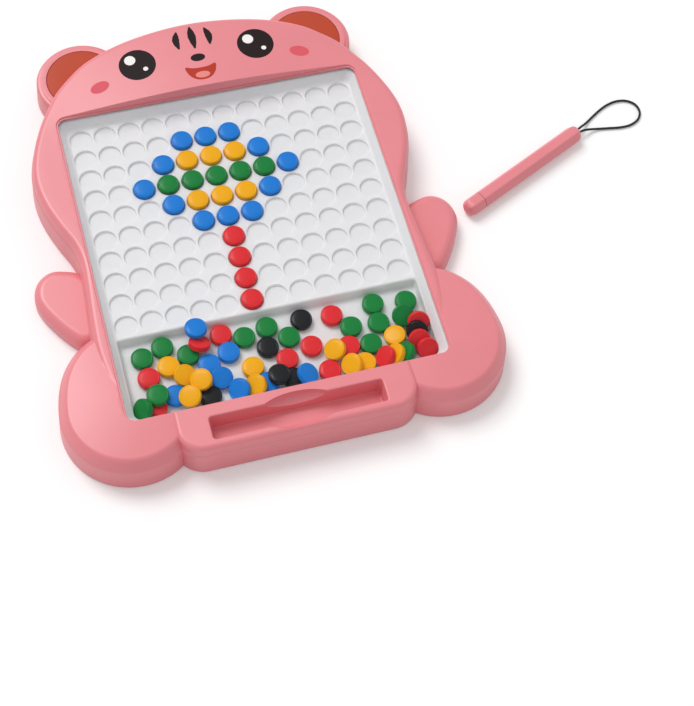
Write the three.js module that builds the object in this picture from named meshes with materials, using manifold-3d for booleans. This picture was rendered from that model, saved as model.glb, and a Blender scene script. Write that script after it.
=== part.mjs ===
// Magnetic drawing board for small children, in millimetres, +Z up.
// The board lies flat. The origin is on the underside, below the middle of the grid of wells.
// +Y runs from the handle to the head.
import * as THREE from "three";
import { mergeVertices } from "three/addons/utils/BufferGeometryUtils.js";
import Module from "manifold-3d";

const wasm = await Module();
wasm.setup();

// Grid of wells and the beads
const WELL_PITCH = 15;
const WELL_LAND = 1.3;
const COLUMNS = 12;
const ROWS = 10;
const BEAD_THICKNESS = 4.2;
const BEAD_EDGE = 1.1;
const BEAD_CLEARANCE = 0.35;
const WELL_DEPTH = 1.6;
const BEAD_LIFT = 2.6;
const ROUND_SIDES = 8;

// Clearances
const SEAT_GAP = 0.3;
const OVERRUN = 4;
const FACET_TOLERANCE = 0.03;

// White tray
const TRAY_SKIN = 2;
const RESERVOIR_DROP = 6;
const RESERVOIR_LENGTH = 53.5;
const WALL_MARGIN = 1.15;
const WALL_SLOPE = 3.5;
const STEP_MARGIN = 1.6;
const STEP_SLOPE = 1.5;
const RESERVOIR_SLOPE = 0.8;
const TRAY_CORNER = 5;
const TRAY_RIM = 2.2;
const UNDER_PANEL_SKIN = 2;

// Clear sheet and the rim of the case over it
const WINDOW_THICKNESS = 1.2;
const LIP_THICKNESS = 1.3;
const APERTURE_EASE = 0.5;
const APERTURE_DRAFT_SHARE = 0.2;

// Case walls
const CASE_WALL = 2.4;
const COVER_THICKNESS = 2.2;
const COVER_SEAT = 1;
const RIB_HEIGHT = 7;
const RIB_WIDTH = 1.8;
const BASE_ROUND = 0.8;
const WALL_DRAFT = 1;
const LEDGE_WIDTH = 0.8;
const LEDGE_ROUND = 1;
const TIER_HEIGHT = 7.5;
const EDGE_ROUND = 4.2;
const FOOT_ROUND = 7;
const HANDLE_ROUND = 3;
const FILLET_STEPS = 2;

// Outline of the body and head
const CHEEK_RAIL = 23.7;
const HEAD_LENGTH = 57.5;
const HEAD_RISE = 5;
const BODY_POINTS = 56;

// Feet, handle, ears and arms
const FOOT_RADIUS = 40.8;
const FOOT_SHOULDER = 12;
const FOOT_CROWN = 1.6;
const FOOT_OFFSET_X = 3;
const FOOT_OFFSET_Y = 11.5;
const FOOT_POINTS = 26;
const HANDLE_HALF_LENGTH = 72;
const HANDLE_DEPTH = 29.3;
const HANDLE_CORNER = 17;
const HANDLE_ROOT = 30;
const EAR_RADIUS = 29.4;
const EAR_INSIDE_CHEEK = 45.2;
const EAR_Y_PAST_APERTURE = 34;
const EAR_BAND = 3;
const EAR_GROOVE = 0.9;
const EAR_RING = 3.4;
const EAR_RECESS = 1.5;
const EAR_INLAY_THICKNESS = 1.2;
const EAR_SIDES = 24;
const ARM_REACH = 27.5;
const ARM_LENGTH = 60;
const ARM_TOP = 12.5;
const ARM_ROUND = 6;
const ARM_POINTS = 20;

// Pen trough in the handle
const TROUGH_LENGTH = 101.4;
const TROUGH_WIDTH = 14;
const TROUGH_DEPTH = 12;
const TROUGH_DRAFT = 1.2;
const TROUGH_CORNER = 1.8;
const TROUGH_FROM_APERTURE = 8;
const TROUGH_SKIN = 2;
const SCOOP_LENGTH = 48;
const SCOOP_WIDTH = 22.4;
const SCOOP_DEPTH = 8;

// Case screws
const SCREW_DIAMETER = 3;
const SCREW_HEAD_DIAMETER = 6;
const SCREW_HEAD_HEIGHT = 2;
const SCREW_LENGTH = 12;
const SCREW_SIDES = 8;
const BOSS_DIAMETER = 8;
const COVER_BOSS_HEIGHT = 5;

// Pen and its wrist loop
const PEN_LENGTH = 97;
const PEN_FLATS = 10.4;
const PEN_END_ROUND = 3.6;
const PEN_TIP_LENGTH = 12;
const PEN_TIP_SKIN = 2;
const PEN_SPIGOT = 2;
const MAGNET_DIAMETER = 6;
const PEN_SIDES = 6;
const PEN_BEARING_DEGREES = 25;
const PEN_OUT_FROM_ARM = 7;
const CORD_DIAMETER = 1.5;
const CORD_HOLE_DIAMETER = 4.6;
const CORD_HOLE_DEPTH = 3;
const CORD_SIDES = 8;
const CORD_STEPS = 34;

// Heights worked out from the stack of pieces
const trayFootZ = COVER_THICKNESS + RIB_HEIGHT + SEAT_GAP;
const reservoirFloorZ = trayFootZ + TRAY_SKIN;
const panelZ = reservoirFloorZ + RESERVOIR_DROP;
const wellFloorZ = panelZ - WELL_DEPTH;
const beadTopZ = wellFloorZ + BEAD_THICKNESS;
const windowUnderZ = beadTopZ + BEAD_LIFT + SEAT_GAP;
const trayRimZ = windowUnderZ - SEAT_GAP;
const windowTopZ = windowUnderZ + WINDOW_THICKNESS;
const lipUnderZ = windowTopZ + SEAT_GAP;
const frameTopZ = lipUnderZ + LIP_THICKNESS;
const ledgeZ = frameTopZ - TIER_HEIGHT;
const earTopZ = ledgeZ;

// Plan places worked out from the grid
const wellRadius = (WELL_PITCH - WELL_LAND) / 2;
const beadRadius = wellRadius - BEAD_CLEARANCE;
const gridHalfX = ((COLUMNS - 1) / 2) * WELL_PITCH;
const gridHalfY = ((ROWS - 1) / 2) * WELL_PITCH;
const panelHalfX = gridHalfX + wellRadius + WALL_MARGIN;
const panelFarY = gridHalfY + wellRadius + WALL_MARGIN;
const stepY = -gridHalfY - wellRadius - STEP_MARGIN;
const panelNearY = stepY - RESERVOIR_LENGTH;
const trayTopHalfX = panelHalfX + WALL_SLOPE;
const trayTopFarY = panelFarY + WALL_SLOPE;
const trayTopNearY = panelNearY - WALL_SLOPE + STEP_SLOPE;
const trayHalfX = trayTopHalfX + TRAY_RIM;
const trayFarY = trayTopFarY + TRAY_RIM;
const trayNearY = trayTopNearY - TRAY_RIM;
const apertureHalfX = trayTopHalfX + APERTURE_EASE;
const apertureFarY = trayTopFarY + APERTURE_EASE;
const apertureNearY = trayTopNearY - APERTURE_EASE;
const cheekHalfX = apertureHalfX + CHEEK_RAIL;
const headTopY = apertureFarY + HEAD_LENGTH;
const footX = apertureHalfX - FOOT_OFFSET_X;
const footY = apertureNearY + FOOT_OFFSET_Y;
const handleNearY = apertureNearY - HANDLE_DEPTH;
const earX = cheekHalfX - EAR_INSIDE_CHEEK;
const earY = apertureFarY + EAR_Y_PAST_APERTURE;
const troughY = apertureNearY - TROUGH_FROM_APERTURE - TROUGH_WIDTH / 2;

// Right half of the body's outline, from the top of the head down, as shares of the cheek's
// half width and of the head's reach
const bodyShares = [
  [0, 1], [0.22, 0.985], [0.431, 0.945], [0.609, 0.88], [0.694, 0.825], [0.783, 0.752],
  [0.846, 0.672], [0.901, 0.591], [0.963, 0.46], [0.995, 0.35], [1, 0.255], [0.98, 0.146],
  [0.935, 0.029], [0.88, -0.088], [0.865, -0.175], [0.871, -0.292], [0.884, -0.453],
  [0.888, -0.62], [0.854, -0.8], [0.77, -0.92], [0.49, -0.978], [0.195, -0.985],
];

// Right arm's outline as shares of its reach past the body's side and of its length
const armShares = [
  [1, -0.3], [0.93, -0.14], [0.74, -0.04], [0.5, 0], [0.22, -0.025], [-0.05, -0.08],
  [-0.3, -0.25], [-0.36, -0.6], [-0.25, -0.88], [-0.02, -0.99], [0.2, -0.93], [0.47, -0.78],
  [0.74, -0.6], [0.93, -0.43],
];

// Rings of the crowned tops, as shares of the way out from the middle
const headCrownShares = [0.86, 0.7, 0.5, 0.25];
const footCrownShares = [0.6];

// Crown of the head: how fast it fades to the cheeks, its fullness, and its droop at the top
const crownFadeShare = 1.35;
const crownFullness = 1.5;

// Arm: how far inside the cheek it springs, and its shoulder, as shares
const armRootShare = 0.364;
const armShoulderShare = 0.267;

// Direction of the foot's shoulder towards the cheek
const FOOT_SHOULDER_DEGREES = 95;

function solid(geometry) {
  const bare = geometry.clone();
  bare.deleteAttribute("normal");
  bare.deleteAttribute("uv");
  const merged = mergeVertices(bare);
  const corners = merged.index.array;
  const places = merged.attributes.position;
  const kept = [];
  let volume = 0;
  const [a, b, c] = [new THREE.Vector3(), new THREE.Vector3(), new THREE.Vector3()];
  for (let i = 0; i < corners.length; i += 3) {
    const [p, q, r] = [corners[i], corners[i + 1], corners[i + 2]];
    if (p === q || q === r || r === p) continue;
    kept.push(p, q, r);
    a.fromBufferAttribute(places, p);
    b.fromBufferAttribute(places, q);
    c.fromBufferAttribute(places, r);
    volume += a.dot(b.cross(c));
  }
  if (volume < 0) kept.reverse();
  return new wasm.Manifold(
    new wasm.Mesh({
      numProp: 3,
      vertProperties: new Float32Array(places.array),
      triVerts: new Uint32Array(kept),
    }),
  );
}

function geometryOf(body) {
  const mesh = body.asOriginal().simplify(FACET_TOLERANCE).getMesh();
  const geometry = new THREE.BufferGeometry();
  geometry.setAttribute("position", new THREE.BufferAttribute(mesh.vertProperties, 3));
  geometry.setIndex(new THREE.BufferAttribute(mesh.triVerts, 1));
  geometry.computeVertexNormals();
  return geometry;
}

// A closed skin through rings of equally many points, listed from the bottom up
function loft(rings) {
  const count = rings[0].length;
  const positions = [];
  const faces = [];
  for (const ring of rings) {
    for (const point of ring) positions.push(point.x, point.y, point.z);
  }
  for (let k = 0; k + 1 < rings.length; k += 1) {
    for (let i = 0; i < count; i += 1) {
      const next = (i + 1) % count;
      const [low, lowNext] = [k * count + i, k * count + next];
      const [high, highNext] = [low + count, lowNext + count];
      faces.push(low, lowNext, highNext, low, highNext, high);
    }
  }
  const topStart = (rings.length - 1) * count;
  for (const [ring, start, step] of [[rings[0], 0, 1], [rings.at(-1), topStart, count - 1]]) {
    const middle = ring.reduce((sum, point) => sum.add(point), new THREE.Vector3()).divideScalar(count);
    const hub = positions.length / 3;
    positions.push(middle.x, middle.y, middle.z);
    for (let i = 0; i < count; i += 1) {
      faces.push(hub, start + ((i + step) % count), start + i);
    }
  }
  const geometry = new THREE.BufferGeometry();
  geometry.setAttribute("position", new THREE.Float32BufferAttribute(positions, 3));
  geometry.setIndex(faces);
  return solid(geometry);
}

// A revolved solid about the Z axis; the profile is a list of radius and height
function turned(profile, sides) {
  const points = profile.map(([radius, height]) => new THREE.Vector2(radius, height));
  return solid(new THREE.LatheGeometry(points, sides).rotateX(Math.PI / 2));
}

function disc(radius, low, high, sides) {
  return turned([[0, low], [radius, low], [radius, high], [0, high]], sides);
}

function box(lowX, highX, lowY, highY, lowZ, highZ) {
  const geometry = new THREE.BoxGeometry(highX - lowX, highY - lowY, highZ - lowZ);
  geometry.translate((lowX + highX) / 2, (lowY + highY) / 2, (lowZ + highZ) / 2);
  return solid(geometry);
}

function union(bodies) {
  return bodies.reduce((sum, body) => sum.add(body));
}

// Points of a rounded rectangle, anticlockwise
function roundedRectangle(lowX, highX, lowY, highY, radius, z) {
  const shape = new THREE.Shape();
  shape.absarc(highX - radius, highY - radius, radius, 0, Math.PI / 2);
  shape.absarc(lowX + radius, highY - radius, radius, Math.PI / 2, Math.PI);
  shape.absarc(lowX + radius, lowY + radius, radius, Math.PI, 1.5 * Math.PI);
  shape.absarc(highX - radius, lowY + radius, radius, 1.5 * Math.PI, 2 * Math.PI);
  return shape.getPoints(4).slice(0, -1).map((point) => new THREE.Vector3(point.x, point.y, z));
}

// An outline moved inwards along its own normals
function inset(outline, distance) {
  const count = outline.length;
  return outline.map((point, i) => {
    const before = outline[(i + count - 1) % count];
    const after = outline[(i + 1) % count];
    const normal = new THREE.Vector2(after.y - before.y, before.x - after.x).normalize();
    return new THREE.Vector2(point.x - normal.x * distance, point.y - normal.y * distance);
  });
}

function smoothLoop(points, count) {
  const curve = new THREE.CatmullRomCurve3(
    points.map(([x, y]) => new THREE.Vector3(x, y, 0)), true, "centripetal",
  );
  return curve.getSpacedPoints(count).slice(0, -1).map((point) => new THREE.Vector2(point.x, point.y));
}

// Outlines of the case at the ground
function bodyOutline() {
  const right = bodyShares.map(([x, y]) => [x * cheekHalfX, y * headTopY]);
  const left = right.slice(1).reverse().map(([x, y]) => [-x, y]);
  return smoothLoop([...right, ...left].reverse(), BODY_POINTS);
}

function footOutline() {
  const bumpCentre = THREE.MathUtils.degToRad(FOOT_SHOULDER_DEGREES);
  return Array.from({ length: FOOT_POINTS }, (_, i) => {
    const angle = (i / FOOT_POINTS) * 2 * Math.PI;
    const away = Math.min(Math.abs(angle - bumpCentre), 2 * Math.PI - Math.abs(angle - bumpCentre));
    const bump = away < Math.PI / 2 ? (1 + Math.cos(2 * away)) / 2 : 0;
    const radius = FOOT_RADIUS + FOOT_SHOULDER * bump;
    return new THREE.Vector2(footX + radius * Math.cos(angle), footY + radius * Math.sin(angle));
  });
}

function handleOutline() {
  const rootY = handleNearY + HANDLE_DEPTH + HANDLE_ROOT;
  const points = roundedRectangle(
    -HANDLE_HALF_LENGTH, HANDLE_HALF_LENGTH, handleNearY, rootY, HANDLE_CORNER, 0,
  );
  return points.map((point) => new THREE.Vector2(point.x, point.y));
}

function armOutline() {
  const side = apertureHalfX + CHEEK_RAIL * armRootShare;
  const shoulderY = -ARM_LENGTH * armShoulderShare;
  const points = armShares.map(([x, y]) => [side + x * ARM_REACH, shoulderY + y * ARM_LENGTH]);
  return smoothLoop(points, ARM_POINTS);
}

function earOutline() {
  return Array.from({ length: EAR_SIDES }, (_, i) => {
    const angle = (i / EAR_SIDES) * 2 * Math.PI;
    return new THREE.Vector2(earX + EAR_RADIUS * Math.cos(angle), earY + EAR_RADIUS * Math.sin(angle));
  });
}

// Crown of the head over the level of the frame
function headRise(x, y) {
  const across = Math.max(0, 1 - (x / cheekHalfX) ** 2 * crownFadeShare) ** crownFullness;
  const start = apertureFarY / 2;
  const along = THREE.MathUtils.smoothstep(y, start, apertureFarY);
  const past = Math.max(0, (y - apertureFarY) / HEAD_LENGTH);
  return HEAD_RISE * across * along * (1 - past * past / 2);
}

function noRise() {
  return 0;
}

// The outer skin of one part of the case: base edge, drafted wall, ledge, upper tier, round edge
// and a gently crowned top
function tieredBody(outline, centre, round, crown, rise, crownShares) {
  const fillet = Math.min(round, TIER_HEIGHT - LEDGE_ROUND);
  const tierInset = WALL_DRAFT + LEDGE_WIDTH;
  const steps = [
    [BASE_ROUND, 0, 0], [0, BASE_ROUND, 0], [WALL_DRAFT, ledgeZ - LEDGE_ROUND, 0], [tierInset, ledgeZ, 0],
  ];
  for (let i = 0; i <= FILLET_STEPS; i += 1) {
    const angle = (i / FILLET_STEPS) * (Math.PI / 2);
    const along = fillet * (1 - Math.cos(angle));
    steps.push([tierInset + along, frameTopZ - crown - fillet * (1 - Math.sin(angle)), 1]);
  }
  const rings = steps.map(([distance, z, riseShare]) =>
    inset(outline, distance).map((p) => new THREE.Vector3(p.x, p.y, z + riseShare * rise(p.x, p.y))),
  );
  const top = inset(outline, tierInset + fillet);
  for (const share of crownShares) {
    rings.push(
      top.map((p) => {
        const x = centre.x + (p.x - centre.x) * share;
        const y = centre.y + (p.y - centre.y) * share;
        return new THREE.Vector3(x, y, frameTopZ - crown * share * share + rise(x, y));
      }),
    );
  }
  return loft(rings);
}

// The hollow inside one part of the case, with the seat of the rear cover at its mouth
function hollowBody(outline, top, rise) {
  const seatZ = COVER_THICKNESS + SEAT_GAP;
  const steps = [
    [CASE_WALL, -OVERRUN, 0], [CASE_WALL, seatZ, 0], [CASE_WALL + COVER_SEAT, seatZ, 0],
    [CASE_WALL + COVER_SEAT + WALL_DRAFT, top, 1],
  ];
  return loft(
    steps.map(([distance, z, riseShare]) =>
      inset(outline, distance).map((p) => new THREE.Vector3(p.x, p.y, z + riseShare * rise(p.x, p.y))),
    ),
  );
}

function plate(outline, distance, low, high) {
  return loft([low, high].map((z) => inset(outline, distance).map((p) => new THREE.Vector3(p.x, p.y, z))));
}

const bodyLine = bodyOutline();
const rightFoot = footOutline();
const handleLine = handleOutline();
const rightArm = armOutline();
const rightEar = earOutline();

// Ears: a band, a groove, a raised ring and a sunk middle
function earBody() {
  const inner = EAR_RADIUS - EAR_BAND;
  const ring = inner - EAR_GROOVE;
  const profile = [
    [0, 0],
    [EAR_RADIUS - BASE_ROUND, 0],
    [EAR_RADIUS, BASE_ROUND],
    [EAR_RADIUS - WALL_DRAFT, earTopZ - EAR_BAND],
    [inner, earTopZ - EAR_GROOVE],
    [ring, earTopZ - EAR_GROOVE],
    [ring, earTopZ],
    [ring - EAR_RING, earTopZ],
    [ring - EAR_RING, earTopZ - EAR_RECESS],
    [0, earTopZ - EAR_RECESS],
  ];
  return turned(profile, EAR_SIDES).translate([earX, earY, 0]);
}

function armBody() {
  const steps = [[BASE_ROUND, 0], [0, BASE_ROUND], [WALL_DRAFT / 2, ARM_TOP - ARM_ROUND]];
  for (let i = 1; i <= FILLET_STEPS; i += 1) {
    const angle = (i / FILLET_STEPS) * (Math.PI / 2);
    const distance = WALL_DRAFT / 2 + ARM_ROUND * (1 - Math.cos(angle));
    steps.push([distance, ARM_TOP - ARM_ROUND * (1 - Math.sin(angle))]);
  }
  return loft(
    steps.map(([distance, z]) => inset(rightArm, distance).map((p) => new THREE.Vector3(p.x, p.y, z))),
  );
}

function bothSides(body) {
  return body.add(body.mirror([1, 0, 0]));
}

const bodyCentre = new THREE.Vector2(0, gridHalfY / 2);
const footCentre = new THREE.Vector2(footX, footY);
const handleCentre = new THREE.Vector2(0, troughY);
const caseOuter = union([
  tieredBody(bodyLine, bodyCentre, EDGE_ROUND, 0, headRise, headCrownShares),
  bothSides(tieredBody(rightFoot, footCentre, FOOT_ROUND, FOOT_CROWN, noRise, footCrownShares)),
  tieredBody(handleLine, handleCentre, HANDLE_ROUND, 0, noRise, []),
  bothSides(earBody()),
  bothSides(armBody()),
]);

const ceilingZ = frameTopZ - CASE_WALL;
const bossRoofZ = ceilingZ + CASE_WALL / 2;
const earCeilingZ = earTopZ - EAR_RECESS - CASE_WALL;
const caseHollow = union([
  hollowBody(bodyLine, ceilingZ, headRise),
  bothSides(hollowBody(rightFoot, ceilingZ - FOOT_CROWN, noRise)),
  hollowBody(handleLine, ceilingZ, noRise),
  bothSides(hollowBody(rightEar, earCeilingZ, noRise)),
  bothSides(hollowBody(rightArm, ARM_TOP - ARM_ROUND, noRise)),
]);

// Six screws: in the feet, beside the cheeks and in the head
const screwX = apertureHalfX + CHEEK_RAIL / 2;
const screwPlaces = [
  ["foot", footX + FOOT_RADIUS / 2, footY],
  ["cheek", screwX, gridHalfY / 2],
  ["head", cheekHalfX / 2, apertureFarY + HEAD_LENGTH / 2],
].flatMap(([place, x, y]) => [[`left_${place}_screw`, -x, y], [`right_${place}_screw`, x, y]]);

function atScrews(make) {
  return union(screwPlaces.map(([, x, y]) => make(x, y).translate([x, y, 0])));
}

const shellBosses = atScrews((x, y) =>
  disc(BOSS_DIAMETER / 2, COVER_BOSS_HEIGHT + SEAT_GAP, bossRoofZ + headRise(x, y) / 2, ROUND_SIDES),
);
const pilotTopZ = SCREW_LENGTH + SCREW_HEAD_HEIGHT + OVERRUN;
const pilotHoles = atScrews(() => disc(SCREW_DIAMETER / 2 + SEAT_GAP, 0, pilotTopZ, SCREW_SIDES));

function apertureBody() {
  const high = frameTopZ + HEAD_RISE + OVERRUN;
  return loft([lipUnderZ - OVERRUN, high].map((z) => {
    const out = (z - lipUnderZ) * APERTURE_DRAFT_SHARE;
    return roundedRectangle(
      -apertureHalfX - out, apertureHalfX + out, apertureNearY - out / 2, apertureFarY + out, TRAY_CORNER, z,
    );
  }));
}

function troughBody(grow) {
  const halfLength = TROUGH_LENGTH / 2 + grow;
  const halfWidth = TROUGH_WIDTH / 2 + grow;
  const low = frameTopZ - TROUGH_DEPTH - grow;
  const high = grow > 0 ? frameTopZ - LEDGE_ROUND : frameTopZ + OVERRUN;
  const steps = [[low, TROUGH_DRAFT], [frameTopZ - LEDGE_ROUND, 0], [high, 0]];
  return loft(
    steps.slice(0, grow > 0 ? 2 : 3).map(([z, draft]) => {
      const [length, width] = [halfLength - draft, halfWidth - draft];
      return roundedRectangle(-length, length, troughY - width, troughY + width, TROUGH_CORNER, z);
    }),
  );
}

function scoopBody(grow) {
  const ball = new THREE.SphereGeometry(1, 18, 8).rotateX(Math.PI / 2);
  ball.scale(SCOOP_LENGTH / 2 + grow, SCOOP_WIDTH / 2 + grow, SCOOP_DEPTH + grow);
  return solid(ball.translate(0, troughY, frameTopZ));
}

const trayRoom = loft([-OVERRUN, lipUnderZ].map((z) => roundedRectangle(
  -trayHalfX - SEAT_GAP, trayHalfX + SEAT_GAP, trayNearY - SEAT_GAP, trayFarY + SEAT_GAP, TRAY_CORNER, z,
)));

function frontShell() {
  const troughWalls = troughBody(TROUGH_SKIN).add(scoopBody(TROUGH_SKIN)).intersect(caseOuter);
  return caseOuter
    .subtract(caseHollow)
    .add(shellBosses)
    .add(troughWalls)
    .subtract(trayRoom)
    .subtract(apertureBody())
    .subtract(troughBody(0))
    .subtract(scoopBody(0))
    .subtract(pilotHoles);
}

function rearCover() {
  const distance = CASE_WALL + SEAT_GAP;
  const sheet = union([
    plate(bodyLine, distance, 0, COVER_THICKNESS),
    bothSides(plate(rightFoot, distance, 0, COVER_THICKNESS)),
    plate(handleLine, distance, 0, COVER_THICKNESS),
    bothSides(plate(rightEar, distance, 0, COVER_THICKNESS)),
    bothSides(plate(rightArm, distance, 0, COVER_THICKNESS)),
  ]);
  const ribs = [];
  const ribTop = COVER_THICKNESS + RIB_HEIGHT;
  const panelRibTop = panelZ - WELL_DEPTH - UNDER_PANEL_SKIN - SEAT_GAP;
  const skirtHalfX = trayTopHalfX;
  for (const x of [-skirtHalfX, -gridHalfX / 2, 0, gridHalfX / 2, skirtHalfX]) {
    ribs.push(box(x - RIB_WIDTH / 2, x + RIB_WIDTH / 2, trayNearY, trayFarY, 0, ribTop));
  }
  for (const y of [trayTopNearY, (stepY + trayTopNearY) / 2, trayTopFarY]) {
    ribs.push(box(-skirtHalfX, skirtHalfX, y - RIB_WIDTH / 2, y + RIB_WIDTH / 2, 0, ribTop));
  }
  for (const x of [-gridHalfX / 2, 0, gridHalfX / 2]) {
    ribs.push(box(x - RIB_WIDTH / 2, x + RIB_WIDTH / 2, -gridHalfY, gridHalfY, 0, panelRibTop));
  }
  const sinkRadius = SCREW_HEAD_DIAMETER / 2 + SEAT_GAP;
  const sinkTop = SCREW_HEAD_HEIGHT + 2 * SEAT_GAP;
  const holeRadius = SCREW_DIAMETER / 2 + SEAT_GAP;
  const bosses = atScrews(() => disc(BOSS_DIAMETER / 2, 0, COVER_BOSS_HEIGHT, ROUND_SIDES));
  const sinks = atScrews(() => disc(sinkRadius, -OVERRUN, sinkTop, SCREW_SIDES));
  const holes = atScrews(() => disc(holeRadius, -OVERRUN, COVER_BOSS_HEIGHT + OVERRUN, SCREW_SIDES));
  return sheet.add(union(ribs)).add(bosses).subtract(sinks).subtract(holes);
}

function dotPanel() {
  const block = loft([trayFootZ, trayRimZ].map((z) =>
    roundedRectangle(-trayHalfX, trayHalfX, trayNearY, trayFarY, TRAY_CORNER, z),
  ));
  const nearSlope = WALL_SLOPE - STEP_SLOPE;
  const upper = loft([panelZ, trayRimZ + OVERRUN].map((z) => {
    const rise = (z - panelZ) / (trayRimZ - panelZ);
    const halfX = panelHalfX + rise * WALL_SLOPE;
    return roundedRectangle(
      -halfX, halfX, panelNearY - rise * nearSlope, panelFarY + rise * WALL_SLOPE, TRAY_CORNER, z,
    );
  }));
  const lower = loft([[reservoirFloorZ, 1], [panelZ + SEAT_GAP, 0]].map(([z, foot]) =>
    roundedRectangle(
      -panelHalfX + RESERVOIR_SLOPE * foot, panelHalfX - RESERVOIR_SLOPE * foot,
      panelNearY + RESERVOIR_SLOPE * foot, stepY - STEP_SLOPE * foot, TRAY_CORNER / 2, z,
    ),
  ));
  const under = box(
    -gridHalfX - wellRadius, gridHalfX + wellRadius, stepY + STEP_SLOPE + TRAY_SKIN, gridHalfY + wellRadius,
    trayFootZ - OVERRUN, wellFloorZ - UNDER_PANEL_SKIN,
  );
  const wells = [];
  for (let column = 0; column < COLUMNS; column += 1) {
    for (let row = 0; row < ROWS; row += 1) {
      const well = disc(wellRadius, wellFloorZ, panelZ + OVERRUN, ROUND_SIDES);
      wells.push(well.translate([column * WELL_PITCH - gridHalfX, row * WELL_PITCH - gridHalfY, 0]));
    }
  }
  return block.subtract(upper).subtract(lower).subtract(under).subtract(union(wells));
}

function windowSheet() {
  return loft([windowUnderZ, windowTopZ].map((z) =>
    roundedRectangle(-trayHalfX, trayHalfX, trayNearY, trayFarY, TRAY_CORNER, z),
  ));
}

function earInlay() {
  const radius = EAR_RADIUS - EAR_BAND - EAR_GROOVE - EAR_RING - SEAT_GAP;
  const low = earTopZ - EAR_RECESS;
  const head = plate(bodyLine, -SEAT_GAP, 0, frameTopZ);
  const whole = disc(radius, low, low + EAR_INLAY_THICKNESS, EAR_SIDES);
  return whole.translate([earX, earY, 0]).subtract(head);
}

function caseScrew() {
  const [head, shank] = [SCREW_HEAD_DIAMETER / 2, SCREW_DIAMETER / 2];
  const low = SEAT_GAP;
  const neck = low + SCREW_HEAD_HEIGHT;
  const point = neck + SCREW_LENGTH;
  return turned(
    [[0, low], [head, low], [head, neck], [shank, neck], [shank, point - shank], [0, point]], SCREW_SIDES,
  );
}

// A bead's underside is at its own zero height
function bead() {
  const face = beadRadius - BEAD_EDGE;
  const shoulder = BEAD_THICKNESS - BEAD_EDGE;
  const low = [[0, 0], [face, 0], [beadRadius, BEAD_EDGE]];
  const high = [[beadRadius, shoulder], [face, BEAD_THICKNESS], [0, BEAD_THICKNESS]];
  return turned([...low, ...high], ROUND_SIDES);
}

// The pen lies along +X in its own group, tip at zero, one flat on the ground
function penBlank(from, to, roundFrom, roundTo) {
  const corner = PEN_FLATS / 2 / Math.cos(Math.PI / PEN_SIDES);
  const profile = [[0, from]];
  const quarter = Array.from({ length: FILLET_STEPS + 1 }, (_, i) => (i / FILLET_STEPS) * (Math.PI / 2));
  const add = (round, end, inward, angle) => {
    const radius = corner - round * (1 - Math.sin(angle));
    profile.push([radius, end + inward * round * (1 - Math.cos(angle))]);
  };
  const anglesOf = (round) => (round > 0 ? quarter : [Math.PI / 2]);
  const [firstAngles, lastAngles] = [anglesOf(roundFrom), anglesOf(roundTo)];
  for (const angle of firstAngles) add(roundFrom, from, 1, angle);
  for (const angle of lastAngles.slice().reverse()) add(roundTo, to, -1, angle);
  profile.push([0, to]);
  return turned(profile, PEN_SIDES);
}

function alongPen(body) {
  return body.rotate([0, 90, 0]).translate([0, 0, PEN_FLATS / 2]);
}

function penTip() {
  const pocket = disc(MAGNET_DIAMETER / 2 + SEAT_GAP, PEN_TIP_SKIN, PEN_TIP_LENGTH + OVERRUN, ROUND_SIDES);
  return alongPen(penBlank(0, PEN_TIP_LENGTH, PEN_END_ROUND, 0).subtract(pocket));
}

function penMagnet() {
  const low = PEN_TIP_SKIN + SEAT_GAP;
  return alongPen(disc(MAGNET_DIAMETER / 2, low, PEN_TIP_LENGTH - PEN_SPIGOT - SEAT_GAP, ROUND_SIDES));
}

function penBarrel() {
  const start = PEN_TIP_LENGTH + SEAT_GAP;
  const spigot = disc(MAGNET_DIAMETER / 2, PEN_TIP_LENGTH - PEN_SPIGOT, start + SEAT_GAP, ROUND_SIDES);
  const hole = disc(CORD_HOLE_DIAMETER / 2, PEN_LENGTH - CORD_HOLE_DEPTH, PEN_LENGTH + OVERRUN, ROUND_SIDES);
  return alongPen(penBlank(start, PEN_LENGTH, 0, PEN_END_ROUND).add(spigot).subtract(hole));
}

// Route of the loop: ahead of the pen's end, aside of its axis, and height over the ground
const loopRoute = [
  [-2.7, 1.1, 4.8], [0, 1.15, 4.8], [2.6, 1.3, 4.6], [6, 1.9, 3.4], [10, 2.6, 1.8], [14, 3.3, 0.95],
  [19, 4.1, 0.8], [26, 4.9, 0.8], [33, 4.9, 0.8], [40, 3.2, 0.8], [45.5, -0.8, 0.8], [47.8, -6.5, 0.8],
  [46, -12.3, 0.8], [41, -15.8, 0.8], [34, -16, 0.8], [27.5, -13.4, 0.8], [21, -9.2, 0.8],
  [15.5, -5.6, 0.95], [11, -3.3, 1.8], [7, -2, 3.3], [3, -1.25, 4.5], [0, -1.1, 4.8], [-2.7, -1.1, 4.8],
];

function penLoop() {
  const route = new THREE.CatmullRomCurve3(
    loopRoute.map(([ahead, aside, height]) => new THREE.Vector3(PEN_LENGTH + ahead, aside, height)),
    false, "centripetal",
  );
  const section = new THREE.Shape(
    Array.from({ length: CORD_SIDES }, (_, i) => {
      const angle = ((i + 0.5) / CORD_SIDES) * 2 * Math.PI;
      return new THREE.Vector2(Math.cos(angle), Math.sin(angle)).multiplyScalar(CORD_DIAMETER / 2);
    }),
  );
  const settings = { steps: CORD_STEPS, extrudePath: route, bevelEnabled: false };
  return solid(new THREE.ExtrudeGeometry(section, settings));
}

function plastic(color, roughness = 0.35) {
  return new THREE.MeshStandardMaterial({ color, roughness, metalness: 0 });
}

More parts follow.
